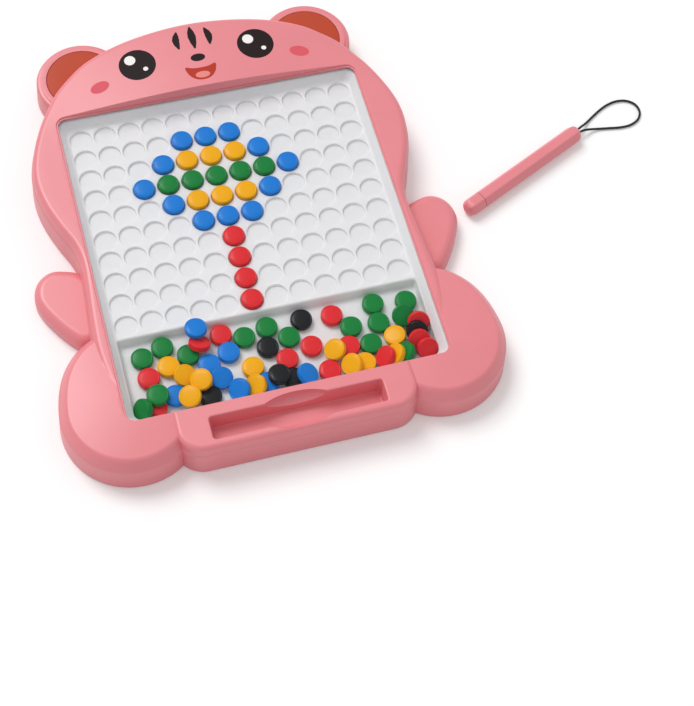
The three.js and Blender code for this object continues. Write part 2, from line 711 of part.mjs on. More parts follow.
const materials = {
  casePink: plastic(0xee8f95),
  earOrange: plastic(0xd0644f),
  trayWhite: plastic(0xececec),
  clearSheet: new THREE.MeshStandardMaterial({
    color: 0xffffff, roughness: 0.05, metalness: 0, transparent: true, opacity: 0.2,
  }),
  screwSteel: new THREE.MeshStandardMaterial({ color: 0x9a9da0, roughness: 0.3, metalness: 1 }),
  magnetGrey: new THREE.MeshStandardMaterial({ color: 0x55585c, roughness: 0.4, metalness: 0.9 }),
  cordBlack: plastic(0x1c1c1e, 0.8),
  blue: plastic(0x1e78d7, 0.25),
  yellow: plastic(0xfaaf0f, 0.25),
  green: plastic(0x14873c, 0.25),
  red: plastic(0xe12832, 0.25),
  black: plastic(0x1e1e23, 0.25),
};

const board = new THREE.Group();

function place(name, body, material, parent = board) {
  const mesh = new THREE.Mesh(body.isBufferGeometry ? body : geometryOf(body), material);
  mesh.name = name;
  parent.add(mesh);
  return mesh;
}

place("front_shell", frontShell(), materials.casePink);
place("rear_cover", rearCover(), materials.casePink);
place("dot_panel", dotPanel(), materials.trayWhite);
place("window_sheet", windowSheet(), materials.clearSheet);
place("right_ear_inlay", earInlay(), materials.earOrange);
place("left_ear_inlay", earInlay().mirror([1, 0, 0]), materials.earOrange);
for (const [name, x, y] of screwPlaces) {
  place(name, caseScrew(), materials.screwSteel).position.set(x, y, 0);
}

// The picture of a flower laid in the wells: colour, row from the top, first and last column
const pictureRows = [
  ["blue", 1, 4, 6], ["blue", 2, 3, 3], ["yellow", 2, 4, 6], ["blue", 2, 7, 7], ["blue", 3, 2, 2],
  ["green", 3, 3, 7], ["blue", 3, 8, 8], ["blue", 4, 3, 3], ["yellow", 4, 4, 6], ["blue", 4, 7, 7],
  ["blue", 5, 4, 6], ["red", 6, 5, 5], ["red", 7, 5, 5], ["red", 8, 5, 5], ["red", 9, 5, 5],
];
const beadShape = geometryOf(bead());
const laid = { blue: 0, yellow: 0, green: 0, red: 0 };
for (const [colour, row, first, last] of pictureRows) {
  for (let column = first; column <= last; column += 1) {
    laid[colour] += 1;
    const name = `picture_bead_${colour}_${String(laid[colour]).padStart(2, "0")}`;
    const x = column * WELL_PITCH - gridHalfX;
    const y = gridHalfY - row * WELL_PITCH;
    place(name, beadShape, materials[colour]).position.set(x, y, wellFloorZ);
  }
}

// Loose beads lying flat on the reservoir's floor: colour, places as shares of the pitch across
// from the middle and down from the step
const reservoirShares = [
  ["green", -5.2, 0.86], ["green", -4.35, 0.57], ["yellow", -4.29, 1.44], ["red", -5.13, 1.76],
  ["green", -3.45, 1.12], ["blue", -2.75, 1.71], ["blue", -1.91, 1.38], ["red", -2.03, 0.56],
  ["green", -1.17, 0.88], ["black", -0.39, 1.52], ["green", 0.52, 1.28], ["black", 1.18, 0.64],
  ["red", 2.39, 0.74], ["green", 3, 1.41], ["green", 4.11, 0.62],
];
for (const [index, [colour, across, down]] of reservoirShares.entries()) {
  const name = `loose_bead_${colour}_${String(index + 1).padStart(2, "0")}`;
  const mesh = place(name, beadShape, materials[colour]);
  mesh.position.set(across * WELL_PITCH, stepY - down * WELL_PITCH, reservoirFloorZ);
}

const pen = new THREE.Group();
pen.position.set(cheekHalfX + ARM_REACH - PEN_OUT_FROM_ARM, -ARM_LENGTH / 2, 0);
pen.rotation.z = THREE.MathUtils.degToRad(PEN_BEARING_DEGREES);
board.add(pen);
place("pen_tip", penTip(), materials.casePink, pen);
place("pen_magnet", penMagnet(), materials.magnetGrey, pen);
place("pen_barrel", penBarrel(), materials.casePink, pen);
place("pen_loop", penLoop(), materials.cordBlack, pen);

export default board;
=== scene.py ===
# %% [markdown]
# # A magnetic drawing board, dressed in Blender
# The board is a toddler's toy: a pink moulded case in the shape of a round-eared animal, a white tray
# with 120 round wells under a clear sheet, loose steel-cored beads, and a magnet pen on a wrist loop.
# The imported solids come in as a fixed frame, in metres. Everything visible is built around that frame.

import math

import bmesh
import bpy
from mathutils import Matrix, Vector


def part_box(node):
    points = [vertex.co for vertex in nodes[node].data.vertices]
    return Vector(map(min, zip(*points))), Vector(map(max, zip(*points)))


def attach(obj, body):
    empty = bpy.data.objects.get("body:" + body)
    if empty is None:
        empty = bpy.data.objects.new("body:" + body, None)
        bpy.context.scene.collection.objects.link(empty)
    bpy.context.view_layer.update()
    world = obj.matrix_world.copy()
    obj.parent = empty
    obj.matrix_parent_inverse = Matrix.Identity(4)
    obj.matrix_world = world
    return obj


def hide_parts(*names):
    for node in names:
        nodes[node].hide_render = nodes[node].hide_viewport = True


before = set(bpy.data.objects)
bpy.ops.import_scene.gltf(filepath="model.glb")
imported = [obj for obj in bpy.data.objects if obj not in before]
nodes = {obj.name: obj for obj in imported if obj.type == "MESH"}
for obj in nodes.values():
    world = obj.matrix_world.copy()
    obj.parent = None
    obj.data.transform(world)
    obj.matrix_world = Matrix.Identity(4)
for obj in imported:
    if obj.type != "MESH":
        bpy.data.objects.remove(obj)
scene = bpy.context.scene
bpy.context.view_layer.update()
MM = 0.001

# %% [markdown]
# ## The camera
# A photographer stood below the feet of the board and looked down on it at a steep angle. The square
# grid of wells fixes where the lens was: its rows and columns are 15 mm apart, so their picture gives
# the distance and the turn of the camera. The three directions below are the camera's own axes.

# %% Camera at the photograph's viewing angle
PHOTO_HEIGHT = 706   # pixels, the longer side of the picture
FOCAL_PIXELS = 1622.1
SENSOR_WIDTH = 36.0
camera_right = Vector((0.96207, -0.26708, 0.05553))
camera_up = Vector((0.21041, 0.85609, 0.47203))
camera_back = Vector((-0.17362, -0.44244, 0.87983))
camera_place = Vector((-0.12593, -0.53116, 0.84474))

lens_data = bpy.data.cameras.new("photo_camera")
lens_data.sensor_width = SENSOR_WIDTH
lens_data.lens = FOCAL_PIXELS * SENSOR_WIDTH / PHOTO_HEIGHT
lens_data.clip_start = 0.01
camera = bpy.data.objects.new("photo_camera", lens_data)
scene.collection.objects.link(camera)
turn = Matrix((camera_right, camera_up, camera_back)).transposed()
camera.matrix_world = Matrix.Translation(camera_place) @ turn.to_4x4()
scene.camera = camera
print("lens in mm:", round(lens_data.lens, 2))

# %% [markdown]
# ## The wrist loop
# The loop is one piece of thin round cord. Both of its ends are held in the hole at the pen's end, so
# it leaves the pen as two strands side by side, drops to the table and opens into a drop shape. A cord
# is a line with a thickness, so a curve with a round bevel is the natural way to make it.

# %% Loop of cord, from the pen's end to the table and back
PEN_PLACE = (138.7, -30.0)   # where the tip lies on the table, in mm like every size below
PEN_BEARING = math.radians(25)
PEN_LENGTH = 97.0
CORD_DIAMETER = 1.5
loop_route = [
    (-2.7, 1.1, 4.8), (0, 1.15, 4.8), (2.6, 1.3, 4.6), (6, 1.9, 3.4), (10, 2.6, 1.8), (14, 3.3, 0.95),
    (19, 4.1, 0.8), (26, 4.9, 0.8), (33, 4.9, 0.8), (40, 3.2, 0.8), (45.5, -0.8, 0.8), (47.8, -6.5, 0.8),
    (46, -12.3, 0.8), (41, -15.8, 0.8), (34, -16, 0.8), (27.5, -13.4, 0.8), (21, -9.2, 0.8),
    (15.5, -5.6, 0.95), (11, -3.3, 1.8), (7, -2, 3.3), (3, -1.25, 4.5), (0, -1.1, 4.8), (-2.7, -1.1, 4.8),
]


def pen_point(ahead, aside, height):
    """A point of the pen's own frame, in mm, turned and moved to where the pen lies, in metres."""
    x = PEN_PLACE[0] + ahead * math.cos(PEN_BEARING) - aside * math.sin(PEN_BEARING)
    y = PEN_PLACE[1] + ahead * math.sin(PEN_BEARING) + aside * math.cos(PEN_BEARING)
    return Vector((x * MM, y * MM, height * MM))


def catmull_rom(before, start, end, after, t):
    """One stretch of a centripetal curve through four points, the curve that the solids use too."""
    spans = [max((b - a).length, 1e-6) ** 0.5 for a, b in ((before, start), (start, end), (end, after))]
    leave = (start - before) / spans[0] - (end - before) / (spans[0] + spans[1]) + (end - start) / spans[1]
    arrive = (end - start) / spans[1] - (after - start) / (spans[1] + spans[2]) + (after - end) / spans[2]
    leave, arrive = leave * spans[1], arrive * spans[1]
    square = -3 * start + 3 * end - 2 * leave - arrive
    cube = 2 * start - 2 * end + leave + arrive
    return start + leave * t + square * t * t + cube * t * t * t


def smooth_line(points, closed, steps):
    """Points of a smooth curve through the given ones, with steps between each pair."""
    if closed:
        path = [points[-1], *points, points[0], points[1]]
    else:
        path = [points[0] * 2 - points[1], *points, points[-1] * 2 - points[-2]]
    line = []
    for four in zip(path, path[1:], path[2:], path[3:]):
        line += [catmull_rom(*four, k / steps) for k in range(steps)]
    return line if closed else line + [points[-1].copy()]


loop_line = smooth_line([pen_point(PEN_LENGTH + a, b, h) for a, b, h in loop_route], closed=False, steps=6)
loop_data = bpy.data.curves.new("wrist_loop", "CURVE")
loop_data.dimensions = "3D"
loop_data.bevel_depth = 1   # times the radius that each point has
loop_data.bevel_resolution = 4
loop_data.use_fill_caps = True
spline = loop_data.splines.new("POLY")
spline.points.add(len(loop_line) - 1)
for point, place in zip(spline.points, loop_line):
    point.co = (*place, 1)
    point.radius = CORD_DIAMETER / 2 * MM
wrist_loop = bpy.data.objects.new("wrist_loop", loop_data)
scene.collection.objects.link(wrist_loop)
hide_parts("pen_loop")
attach(wrist_loop, "pen")

# %% [markdown]
# ## Small helpers
# Working in edit mode by code is the same as working by hand: pick faces or edges, then run a tool on
# them. Everything is deselected before a new primitive is added, because the imported nodes stay
# selected.

# %% Helpers for modelling
def deselect():
    if bpy.context.object and bpy.context.object.mode != "OBJECT":
        bpy.ops.object.mode_set(mode="OBJECT")
    bpy.ops.object.select_all(action="DESELECT")


def activate(piece):
    deselect()
    piece.select_set(True)
    bpy.context.view_layer.objects.active = piece


def pick(piece, kind, test):
    """Enters edit mode with the wanted verts, edges or faces selected."""
    activate(piece)
    bpy.ops.object.mode_set(mode="EDIT")
    bpy.ops.mesh.select_mode(type={"verts": "VERT", "edges": "EDGE", "faces": "FACE"}[kind])
    bpy.ops.mesh.select_all(action="DESELECT")
    shape = bmesh.from_edit_mesh(piece.data)
    for item in [item for item in getattr(shape, kind) if test(item)]:
        item.select_set(True)
    shape.select_flush_mode()
    bmesh.update_edit_mesh(piece.data)


def leave_edit():
    bpy.ops.object.mode_set(mode="OBJECT")


def keep_modifier(piece, kind, **settings):
    """Adds a modifier to a piece, and keeps its result in the mesh."""
    activate(piece)
    modifier = piece.modifiers.new(kind.lower(), kind)
    for setting, value in settings.items():
        setattr(modifier, setting, value)
    bpy.ops.object.modifier_apply(modifier=modifier.name)


def cut(piece, other, how="DIFFERENCE"):
    """Cuts another solid out of a piece, and removes that solid."""
    keep_modifier(piece, "BOOLEAN", operation=how, solver="EXACT", object=other)
    bpy.data.objects.remove(other)


def join(piece, other):
    cut(piece, other, how="UNION")


def outward(piece):
    """Merges points that fall together, and turns every face outwards."""
    activate(piece)
    bpy.ops.object.mode_set(mode="EDIT")
    bpy.ops.mesh.select_all(action="SELECT")
    bpy.ops.mesh.remove_doubles(threshold=0.002 * MM)
    bpy.ops.mesh.normals_make_consistent(inside=False)
    leave_edit()


def settle(piece, degrees=30):
    """Puts a piece's place into its mesh, and shades its soft edges smoothly."""
    activate(piece)
    bpy.ops.object.transform_apply(location=True, rotation=True, scale=True)
    bpy.ops.object.shade_smooth_by_angle(angle=math.radians(degrees))


def calm_flats(piece):
    """Lets the wide flat faces rule the shading, so that a small round edge doesn't tint them."""
    keep_modifier(piece, "WEIGHTED_NORMAL", keep_sharp=True, weight=100)


def flat_face(name, places):
    """A new piece: one flat face through places in metres, left in edit mode with all of it selected."""
    deselect()
    bpy.ops.mesh.primitive_circle_add(vertices=len(places), radius=MM, fill_type="NGON")
    piece = bpy.context.object
    piece.name = piece.data.name = name
    for vertex, place in zip(piece.data.vertices, places):
        vertex.co = place
    piece.data.update()
    bpy.ops.object.mode_set(mode="EDIT")
    bpy.ops.mesh.select_all(action="SELECT")
    return piece


def copy_of(piece, name):
    twin = piece.copy()
    twin.data = piece.data.copy()
    twin.name = twin.data.name = name
    scene.collection.objects.link(twin)
    return twin


def open_edges(piece):
    """How many edges don't have exactly two faces: none on a closed solid."""
    shape = bmesh.new()
    shape.from_mesh(piece.data)
    count = sum(1 for edge in shape.edges if len(edge.link_faces) != 2)
    shape.free()
    return count


def report(piece):
    print(piece.name, "faces:", len(piece.data.polygons), "open edges:", open_edges(piece))


# %% [markdown]
# ## Outlines of the case
# The case is one moulding with five kinds of form in it: the body with the head, two feet, the handle,
# two ears and two arms. Each has its outline at the table, given here as shares of the size that it
# follows, the same as in the solids. A smooth curve runs through them, cut into even steps.

# %% Sizes that the pieces share, in millimetres
FRAME_TOP = 25.8
LEDGE = FRAME_TOP - 7.5
LIP_UNDER = 24.5
APERTURE_HALF_X = 94.5
APERTURE_FAR = 79.5
APERTURE_NEAR = -131.95
CHEEK_HALF_X = 118.2
HEAD_TOP = 137.0
HEAD_LENGTH = 57.5
HEAD_RISE = 5.0
BODY_CENTRE = (0, 33.75)
ARM_WIDTH = 27.5
ARM_LENGTH = 60.0
ARM_FAR = -16.02
FOOT_CENTRE = (APERTURE_HALF_X - 3, APERTURE_NEAR + 11.5)
FOOT_RADIUS = 40.8
FOOT_BUMP = 12.0
FOOT_BUMP_BEARING = math.radians(95)
HANDLE_HALF_X = 72.0
HANDLE_NEAR = APERTURE_NEAR - 29.3
HANDLE_FAR = HANDLE_NEAR + 59.3
EAR_CENTRE = (73.0, APERTURE_FAR + 34)
EAR_RADIUS = 29.4
TROUGH_HALF_X = 50.7
TROUGH_HALF_Y = 7
TROUGH_Y = APERTURE_NEAR - 8 - TROUGH_HALF_Y
TROUGH_FLOOR = 13.8
CASE_WALL = 2.4

body_shares = [
    (0, 1), (0.22, 0.985), (0.431, 0.945), (0.609, 0.88), (0.694, 0.825), (0.783, 0.752),
    (0.846, 0.672), (0.901, 0.591), (0.963, 0.46), (0.995, 0.35), (1, 0.255), (0.98, 0.146),
    (0.935, 0.029), (0.88, -0.088), (0.865, -0.175), (0.871, -0.292), (0.884, -0.453),
    (0.888, -0.62), (0.854, -0.8), (0.77, -0.92), (0.49, -0.978), (0.195, -0.985),
]
arm_shares = [
    (1, -0.3), (0.93, -0.14), (0.74, -0.04), (0.5, 0), (0.22, -0.025), (-0.05, -0.08),
    (-0.3, -0.25), (-0.36, -0.6), (-0.26, -0.8), (0, -0.9), (0.26, -0.88), (0.47, -0.78),
    (0.74, -0.6), (0.93, -0.43),
]


def even_outline(points, count):
    """A smooth closed outline through the points, cut into equal steps."""
    fine = smooth_line([Vector((x, y, 0)) for x, y in points], closed=True, steps=40)
    lengths = [0.0]
    for a, b in zip(fine, fine[1:] + fine[:1]):
        lengths.append(lengths[-1] + (b - a).length)
    outline, at = [], 0
    for step in range(count):
        wanted = lengths[-1] * step / count
        while lengths[at + 1] < wanted:
            at += 1
        share = (wanted - lengths[at]) / (lengths[at + 1] - lengths[at])
        place = fine[at].lerp(fine[(at + 1) % len(fine)], share)
        outline.append((place.x, place.y))
    return outline


def body_outline(count=220):
    right = [(x * CHEEK_HALF_X, y * HEAD_TOP) for x, y in body_shares]
    left = [(-x, y) for x, y in reversed(right[1:])]
    return even_outline((right + left)[::-1], count)


def arm_outline(count=64):
    side = APERTURE_HALF_X + (CHEEK_HALF_X - APERTURE_HALF_X) * 0.364
    return even_outline([(side + x * ARM_WIDTH, ARM_FAR + y * ARM_LENGTH) for x, y in arm_shares], count)


def foot_outline(count=110):
    outline = []
    for step in range(count):
        angle = 2 * math.pi * step / count
        away = abs(angle - FOOT_BUMP_BEARING)
        away = min(away, 2 * math.pi - away)
        bump = (1 + math.cos(2 * away)) / 2 if away < math.pi / 2 else 0
        radius = FOOT_RADIUS + FOOT_BUMP * bump
        outline.append((FOOT_CENTRE[0] + radius * math.cos(angle), FOOT_CENTRE[1] + radius * math.sin(angle)))
    return outline


def round_corners(low_x, high_x, low_y, high_y, radius, steps=10):
    """A rectangle with round corners, anticlockwise."""
    left, right, near, far = low_x + radius, high_x - radius, low_y + radius, high_y - radius
    outline = []
    for corner, (x, y) in enumerate([(right, far), (left, far), (left, near), (right, near)]):
        for step in range(steps + 1):
            angle = math.pi / 2 * (corner + step / steps)
            outline.append((x + radius * math.cos(angle), y + radius * math.sin(angle)))
    return outline


def circle(centre, radius, count):
    angles = [2 * math.pi * k / count for k in range(count)]
    return [(centre[0] + radius * math.cos(a), centre[1] + radius * math.sin(a)) for a in angles]


def head_rise(x, y):
    """How far the crowned head stands over the level of the frame, in mm."""
    across = max(0.0, 1 - (x / CHEEK_HALF_X) ** 2 * 1.35) ** 1.5
    t = min(max((y - APERTURE_FAR / 2) / (APERTURE_FAR / 2), 0.0), 1.0)
    past = max(0.0, (y - APERTURE_FAR) / HEAD_LENGTH)
    return HEAD_RISE * across * t * t * (3 - 2 * t) * (1 - past * past / 2)


print("outline points:", len(body_outline()), len(foot_outline()), len(arm_outline()))

# %% [markdown]
# ## Raising a form from its outline
# A flat face is laid down in the shape of the outline and pulled up. After that the inset tool does the
# work: each inset takes the top face a little inwards and a little upwards, so a list of such steps
# draws the section of the wall, from the drafted side over the crease to the round edge.

# %% A form from its outline
def edge_arc(radius, steps, turn=90):
    """Points of a round edge: how far each one lies off the wall, and how far below the top."""
    angles = [math.radians(turn) * k / steps for k in range(steps + 1)]
    return [(radius * (1 - math.cos(a)), radius * (1 - math.sin(a))) for a in angles]


def round_edge(radius, steps, turn=90):
    """The same edge as small steps, each inwards and upwards from the last one."""
    arc = edge_arc(radius, steps, turn)
    return [(end[0] - start[0], start[1] - end[1]) for start, end in zip(arc, arc[1:])]


def raise_form(name, outline, start, steps, rings=(), centre=(0, 0)):
    """A closed solid. Steps are (inwards, upwards) in mm; rings are (share of the last, upwards)."""
    form = flat_face(name, [(x * MM, y * MM, start * MM) for x, y in outline])
    bpy.ops.mesh.extrude_region_move(TRANSFORM_OT_translate={"value": (0, 0, steps[0][1] * MM)})
    for inwards, upwards in steps[1:]:
        if inwards:
            bpy.ops.mesh.inset(thickness=inwards * MM, depth=upwards * MM * depth_sign(form))
        else:
            bpy.ops.mesh.extrude_region_move(TRANSFORM_OT_translate={"value": (0, 0, upwards * MM)})
    for share, upwards in rings:
        bpy.ops.mesh.extrude_region_move(TRANSFORM_OT_translate={"value": (0, 0, upwards * MM)})
        bpy.ops.transform.resize(value=(share, share, 1), center_override=(centre[0] * MM, centre[1] * MM, 0))
    leave_edit()
    outward(form)
    return form


def depth_sign(form):
    """An inset goes along the face's own normal, so its depth turns over where that points down."""
    shape = bmesh.from_edit_mesh(form.data)
    shape.normal_update()
    top = next(face for face in shape.faces if face.select)
    return 1 if top.normal.z > 0 else -1


def lift_head(form, above):
    """Crowns all of a form that lies over a height in mm."""
    for vertex in form.data.vertices:
        if vertex.co.z > above * MM:
            vertex.co.z += head_rise(vertex.co.x / MM, vertex.co.y / MM) * MM


print("steps of a round edge:", [(round(a, 2), round(b, 2)) for a, b in round_edge(4, 3)])

# %% [markdown]
# ## The moulded case
# The real case comes out of one mould, with everything that the eye reads as separate forms already in
# it. Here each form is raised from its outline and joined to the rest. The side leans in a little so
# that the part leaves the mould, a soft crease runs round at two thirds of the height, and a second
# wall rises from that crease and turns over in a round edge.

# %% The five kinds of form
BASE_ROUND = 0.8
FORM_STEP = 0.01   # each form stands this much higher than the last one, so that no two faces fall together


def soft_steps(radius, turn):
    """The drafted side, which turns inwards by some degrees: a soft crease in place of the ledge."""
    rise = LEDGE - radius * math.sin(math.radians(turn)) - BASE_ROUND - 0.2
    return [(0, 0.2), *[(0.3, rise / 3)] * 3, *round_edge(radius, 4, turn)]


def upper_wall(edge):
    """From the crease straight up to the round edge of the frame."""
    return [(0.1, 0.2), (0.4, FRAME_TOP - LEDGE - 0.2 - edge), *round_edge(edge, 8)]


def swell(run, rise, steps=10):
    """A top that leaves the crease in a slope and gets flat: the pillow shape of the feet."""
    heights = [rise * math.sin(math.pi / 2 * k / steps) for k in range(steps + 1)]
    return [(run / steps, high - low) for low, high in zip(heights, heights[1:])]


def crown_rings(shares, crown=0.0):
    """Rings towards the middle, each lower than the crown's top by the square of its share."""
    rings, last = [], 1.0
    for share in shares:
        rings.append((share / last, crown * (last * last - share * share)))
        last = share
    return rings


def round_base(form):
    """Turns the sharp edge at the table into a small round one."""
    top = (BASE_ROUND + 0.01) * MM
    pick(form, "faces", lambda face: face.normal.z < -0.9 and face.calc_center_median().z < top)
    for inwards, downwards in round_edge(BASE_ROUND, 3):
        bpy.ops.mesh.inset(thickness=inwards * MM, depth=downwards * MM)
    leave_edit()
    low = min(vertex.co.z for vertex in form.data.vertices)
    for vertex in form.data.vertices:
        if vertex.co.z < low + 0.001 * MM:
            vertex.co.z = low


def mirrored(form, name):
    twin = copy_of(form, name)
    twin.scale.x = -1
    activate(twin)
    bpy.ops.object.transform_apply(location=False, rotation=False, scale=True)
    outward(twin)
    return twin


body_crown = [1 - 0.04 * k for k in range(1, 20)] + [0.15]
case = raise_form(
    "moulded_case", body_outline(), BASE_ROUND, soft_steps(radius=2.4, turn=42) + upper_wall(edge=4.2),
    crown_rings(body_crown), BODY_CENTRE,
)
lift_head(case, LEDGE + 0.01)
foot_crown = 1.6
foot_steps = soft_steps(radius=3, turn=50) + swell(run=5.6, rise=FRAME_TOP - foot_crown - LEDGE)
foot = raise_form(
    "right_foot_form", foot_outline(), BASE_ROUND, foot_steps,
    crown_rings([1 - 0.1 * k for k in range(1, 10)], foot_crown), FOOT_CENTRE,
)
handle_line = round_corners(-HANDLE_HALF_X, HANDLE_HALF_X, HANDLE_NEAR, HANDLE_FAR, radius=17, steps=16)
handle_steps = soft_steps(radius=2, turn=40) + upper_wall(edge=3)
handle = raise_form("handle_form", handle_line, BASE_ROUND, handle_steps)
arm = raise_form("right_arm_form", arm_outline(), BASE_ROUND, [(0.5, 5.7), *round_edge(6, 8)])
ear_steps = [   # side, round edge, flat band, raised ring, and down into the seat of the inlay
    (0, 0.2), (1, 14.1), (1.2, 1.7), (0.8, 0.25), (0.9, 0), (0, 0.72), (0.2, 0.13), (3.0, 0), (0.2, -0.13),
    (0, -1.37),
]
ear = raise_form("right_ear_form", circle(EAR_CENTRE, EAR_RADIUS, 120), BASE_ROUND, ear_steps)
for order, form in enumerate((case, foot, handle, arm, ear)):
    round_base(form)
    for vertex in form.data.vertices:
        vertex.co.z += FORM_STEP * order * MM
    report(form)

# %% [markdown]
# The forms are joined one after another, left ones as mirrored copies of the right ones.

# %% Join the forms
for form, name in ((foot, "left_foot_form"), (arm, "left_arm_form"), (ear, "left_ear_form")):
    join(case, mirrored(form, name))
    join(case, form)
join(case, handle)
report(case)

# %% [markdown]
# ## Openings in the case
# The window opening has a thin flange at its foot, which holds the clear sheet down. Over the flange
# the wall leans back and ends in a small round edge. That wall is low along the sides, but under the
# head it grows to 6 mm, since the head is crowned: it's the dark band above the white tray.

# %% Window opening, tray room, pen trough and thumb scoop
def form_through(name, rings):
    """A closed solid through rings of equally many points: each ring is pulled out of the last one."""
    form = flat_face(name, [Vector(place) * MM for place in rings[0]])
    for ring in rings[1:]:
        shape = bmesh.from_edit_mesh(form.data)
        order = shape.verts.layers.int.get("place") or shape.verts.layers.int.new("place")
        for number, vertex in enumerate(vertex for vertex in shape.verts if vertex.select):
            vertex[order] = vertex[order] if vertex[order] else number + 1
        bmesh.update_edit_mesh(form.data)
        bpy.ops.mesh.extrude_region_move(TRANSFORM_OT_translate={"value": (0, 0, 0)})
        shape = bmesh.from_edit_mesh(form.data)
        order = shape.verts.layers.int["place"]
        for vertex in shape.verts:
            if vertex.select:
                vertex.co = Vector(ring[vertex[order] - 1]) * MM
        bmesh.update_edit_mesh(form.data)
    leave_edit()
    form.data.attributes.remove(form.data.attributes["place"])
    outward(form)
    return form


def flat_plate(name, outline, low, high):
    return form_through(name, [[(x, y, z) for x, y in outline] for z in (low, high)])


def more_points(outline, count):
    """The same outline, with points added along its long straight runs, so that they can bend."""
    fine = []
    for (x, y), (next_x, next_y) in zip(outline, outline[1:] + outline[:1]):
        parts = count if math.hypot(next_x - x, next_y - y) > 20 else 1
        fine += [(x + (next_x - x) * k / parts, y + (next_y - y) * k / parts) for k in range(parts)]
    return fine


def opening_ring(out, height, lean=0.0):
    """The window opening at one height over the flange; the crowned head takes its wall up with it."""
    corners = round_corners(
        -APERTURE_HALF_X - out, APERTURE_HALF_X + out, APERTURE_NEAR - out / 2, APERTURE_FAR + out, 5 + out, 8
    )
    ring = []
    for x, y in more_points(corners, 36):
        rise = head_rise(x, y) if lean else 0
        ring.append((x, y + lean * rise, height + rise))
    return ring


FLANGE_TOP = LIP_UNDER + 0.75
OPENING_EDGE = 0.5
WALL_LEAN = 0.2   # how far the wall leans back for each mm that it rises with the head
wall = [
    (-0.3, LIP_UNDER - 4, 0), (0, LIP_UNDER, 0), (0.02, FLANGE_TOP - 0.15, 0), (0.17, FLANGE_TOP, 0),
    (0.95, FLANGE_TOP, 0),
]
wall += [(1 + out, FRAME_TOP - down, WALL_LEAN) for out, down in edge_arc(OPENING_EDGE, 4, turn=64)]
wall += [(1.1 + OPENING_EDGE, FRAME_TOP + rise, WALL_LEAN) for rise in (0.13, 6)]
cut(case, form_through("opening_cutter", [opening_ring(*step) for step in wall]))

TRAY_HALF_X, TRAY_FAR, TRAY_NEAR = 96.2, 81.2, -133.65
TRAY_CORNER = 5
SEAT_GAP = 0.3


def tray_outline(grow, corner=TRAY_CORNER):
    """The tray's outline, grown by some mm or shrunk where that is below zero."""
    half = TRAY_HALF_X + grow
    return round_corners(-half, half, TRAY_NEAR - grow, TRAY_FAR + grow, corner, 8)


cut(case, flat_plate("tray_room_cutter", tray_outline(SEAT_GAP), -4, LIP_UNDER))


def trough_ring(out, height, corner=1.8):
    half_x, half_y = TROUGH_HALF_X + out, TROUGH_HALF_Y + out
    corners = round_corners(-half_x, half_x, TROUGH_Y - half_y, TROUGH_Y + half_y, corner + max(out, 0), 6)
    return [(x, y, height) for x, y in corners]


TROUGH_EDGE = 0.8
trough = [
    trough_ring(-1.9, TROUGH_FLOOR, 1.2), trough_ring(-1.35, TROUGH_FLOOR + 0.2, 1.5),
    trough_ring(-1.1, TROUGH_FLOOR + 0.8),
]
trough += [trough_ring(out, FRAME_TOP - down) for out, down in edge_arc(TROUGH_EDGE, 4)]
trough.append(trough_ring(TROUGH_EDGE, FRAME_TOP + 4.2))
cut(case, form_through("trough_cutter", trough))
SCOOP_HALF_SIZES = (24, 11.2, 8)
scoop_place = (0, TROUGH_Y * MM, FRAME_TOP * MM)
deselect()
bpy.ops.mesh.primitive_uv_sphere_add(segments=64, ring_count=32, radius=MM, location=scoop_place)
scoop = bpy.context.object
scoop.scale = SCOOP_HALF_SIZES
cut(case, scoop)
report(case)

# %% [markdown]
# The back of the case has a shallow seat for the flat rear cover, and six bores that the case screws
# bite into. Each cutter is a little taller than the last one, so that no two faces fall together.

# %% Seat of the rear cover and bores of the screws
BORE_RADIUS = 1.8
BORE_TOP = 18.3
screw_places = [(s * x, y) for x, y in ((111.9, -120.45), (106.35, 33.75), (59.1, 108.25)) for s in (-1, 1)]


def grown(outline, distance):
    """An outline moved outwards along its own normals, or inwards if the distance is below zero."""
    count = len(outline)
    moved = []
    for i, (x, y) in enumerate(outline):
        before, after = outline[i - 1], outline[(i + 1) % count]
        normal = Vector((after[1] - before[1], before[0] - after[0])).normalized()
        moved.append((x + normal.x * distance, y + normal.y * distance))
    return moved


SEAT_TOP = 2.5
seat = flat_plate("seat_cutter", grown(body_outline(), -CASE_WALL), -4, SEAT_TOP)
join(seat, flat_plate("handle_seat", grown(handle_line, -CASE_WALL), -4.1, SEAT_TOP + FORM_STEP))
for order, line in enumerate((foot_outline(), arm_outline(), circle(EAR_CENTRE, EAR_RADIUS, 120)), 2):
    side = flat_plate("side_seat", grown(line, -CASE_WALL), -4 - 0.1 * order, SEAT_TOP + FORM_STEP * order)
    join(seat, mirrored(side, "other_seat"))
    join(seat, side)
cut(case, seat)
for x, y in screw_places:
    cut(case, flat_plate("bore_cutter", circle((x, y), BORE_RADIUS, 24), -4, BORE_TOP))
settle(case, 35)
calm_flats(case)
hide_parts("front_shell")
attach(case, "board")
report(case)
print("case size in mm:", [round(d / MM, 1) for d in case.dimensions])

# %% [markdown]
# ## The white tray
# Under the sheet lies one white moulding: a field of 120 shallow round wells, sloped walls round it,
# and a step down to the reservoir where the loose beads wait. Such a part is cut from the block in the
# same way as its mould is made: one cutter for the field, one for the reservoir, and one plug that is
# repeated on the 15 mm grid.

